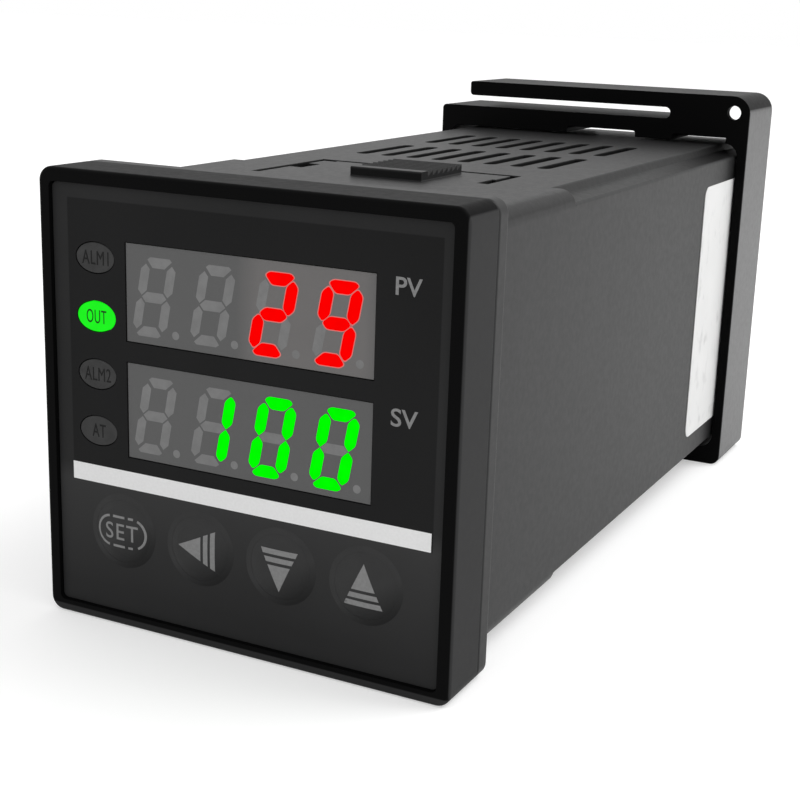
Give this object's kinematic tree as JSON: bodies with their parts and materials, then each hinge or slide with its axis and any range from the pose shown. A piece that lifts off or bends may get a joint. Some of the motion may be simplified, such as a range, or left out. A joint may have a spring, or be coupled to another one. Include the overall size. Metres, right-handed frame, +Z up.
{
  "type": "panel temperature controller",
  "caption": "Square panel-mounted temperature controller: plug-in unit with digit displays, lamps and keys, in a deep vented case with rear screw terminals and a slide-on mounting frame.",
  "frame": {"origin": "on the case axis, in the rear face of the case flange, which seats on the panel", "axes": "+X right seen from the front, +Y towards the rear, +Z up"},
  "size_m": [0.0482, 0.11, 0.0546],
  "materials": {
    "case_plastic": "fine moulded texture",
    "block_plastic": "moulded, satin",
    "contact_brass": "plated strip",
    "screw_steel": "nickel plated",
    "label_paper": "paper-white label",
    "frame_plastic": "moulded, satin",
    "bezel_plastic": "moulded, satin",
    "film": "matte overlay",
    "display_face": "grey display face",
    "lit_red": "lit red",
    "lit_green": "lit green",
    "segment_unlit": "unlit milky segment",
    "lamp_unlit": "unlit smoked lens",
    "lamp_lit": "lit green lens",
    "led_body": "clear diode",
    "switch_body": "black switch body",
    "circuit_board": "green solder mask",
    "header_plastic": "black connector",
    "core_steel": "stacked sheets",
    "coil_tape": "yellow winding tape",
    "relay_case": "black relay case",
    "capacitor_sleeve": "dark blue sleeve",
    "chip_epoxy": "black epoxy",
    "fuse_body": "ceramic tube",
    "trimmer_body": "blue trimmer",
    "brace_plastic": "black moulding",
    "key_cap": "matte grey dome",
    "plunger": "switch plunger"
  },
  "bodies": {
    "case": {"case_shell": "case_plastic", "terminal_block": "block_plastic", "terminal_contacts": "contact_brass", "clamp_washers": "screw_steel", "terminal_screws": "screw_steel", "side_label": "label_paper"},
    "chassis": {"bezel": "bezel_plastic", "front_film": "film", "upper_display": "display_face", "lower_display": "display_face", "upper_lit_segments": "lit_red", "upper_unlit_segments": "segment_unlit", "lower_lit_segments": "lit_green", "lower_unlit_segments": "segment_unlit", "lamp_alarm_1": "lamp_unlit", "lamp_output": "lamp_lit", "lamp_alarm_2": "lamp_unlit", "lamp_autotune": "lamp_unlit", "indicator_leds": "led_body", "tact_switches": "switch_body", "display_board": "circuit_board", "board_screws": "screw_steel", "power_board": "circuit_board", "control_board": "circuit_board", "board_headers": "header_plastic", "transformer_core": "core_steel", "transformer_coil": "coil_tape", "output_relay": "relay_case", "main_capacitor": "capacitor_sleeve", "small_capacitors": "capacitor_sleeve", "processor_chip": "chip_epoxy", "fuse": "fuse_body", "trimmer": "trimmer_body", "board_brace": "brace_plastic"},
    "mounting_frame": {"mounting_frame": "frame_plastic"},
    "key_set": {"key_set": "key_cap", "plunger_set": "plunger"},
    "key_shift": {"key_shift": "key_cap", "plunger_shift": "plunger"},
    "key_down": {"key_down": "key_cap", "plunger_down": "plunger"},
    "key_up": {"key_up": "key_cap", "plunger_up": "plunger"}
  },
  "joints": [
    {"name": "chassis_withdraw", "type": "slide", "parent": "case", "child": "chassis", "axis": [0, -1, 0], "range_m": [0, 0.1]},
    {"name": "frame_slide", "type": "slide", "parent": "case", "child": "mounting_frame", "axis": [0, -1, 0], "range_m": [-0.016, 0.085]},
    {"name": "key_set_press", "type": "slide", "parent": "chassis", "child": "key_set", "axis": [0, 1, 0], "range_m": [0, 0.00035], "stiffness_N_per_m": 1500, "springref_m": -0.0003},
    {"name": "key_shift_press", "type": "slide", "parent": "chassis", "child": "key_shift", "axis": [0, 1, 0], "range_m": [0, 0.00035], "stiffness_N_per_m": 1500, "springref_m": -0.0003},
    {"name": "key_down_press", "type": "slide", "parent": "chassis", "child": "key_down", "axis": [0, 1, 0], "range_m": [0, 0.00035], "stiffness_N_per_m": 1500, "springref_m": -0.0003},
    {"name": "key_up_press", "type": "slide", "parent": "chassis", "child": "key_up", "axis": [0, 1, 0], "range_m": [0, 0.00035], "stiffness_N_per_m": 1500, "springref_m": -0.0003}
  ]
}
